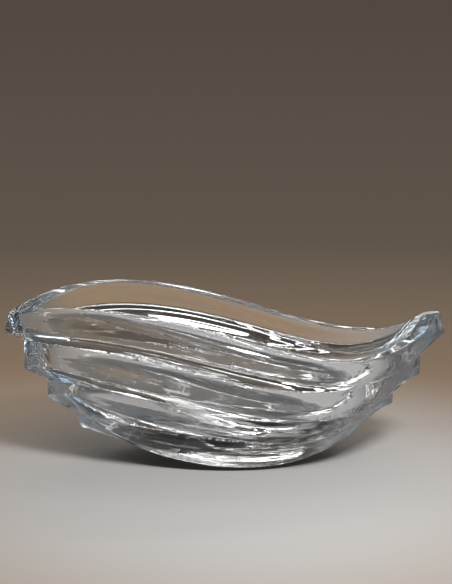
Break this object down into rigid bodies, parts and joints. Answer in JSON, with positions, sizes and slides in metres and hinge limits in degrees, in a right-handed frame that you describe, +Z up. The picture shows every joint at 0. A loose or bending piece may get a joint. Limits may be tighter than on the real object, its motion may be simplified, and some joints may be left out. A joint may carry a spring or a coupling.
{
  "type": "stepped glass wave bowl",
  "caption": "Boat-shaped clear glass bowl with a wave-shaped rim: a decorative centrepiece in lapped tiers that step in to a small foot.",
  "frame": {"origin": "on the table, under the middle of the bowl's outline in plan", "axes": "+X along the bowl from its crest to its trough, +Y across it to the back, +Z up"},
  "size_m": [0.355, 0.185, 0.1325],
  "materials": {
    "clear_glass": "polished clear crystal glass"
  },
  "bodies": {
    "root": {"rim_tier": "clear_glass", "second_tier": "clear_glass", "third_tier": "clear_glass", "base_dish": "clear_glass"}
  },
  "joints": []
}
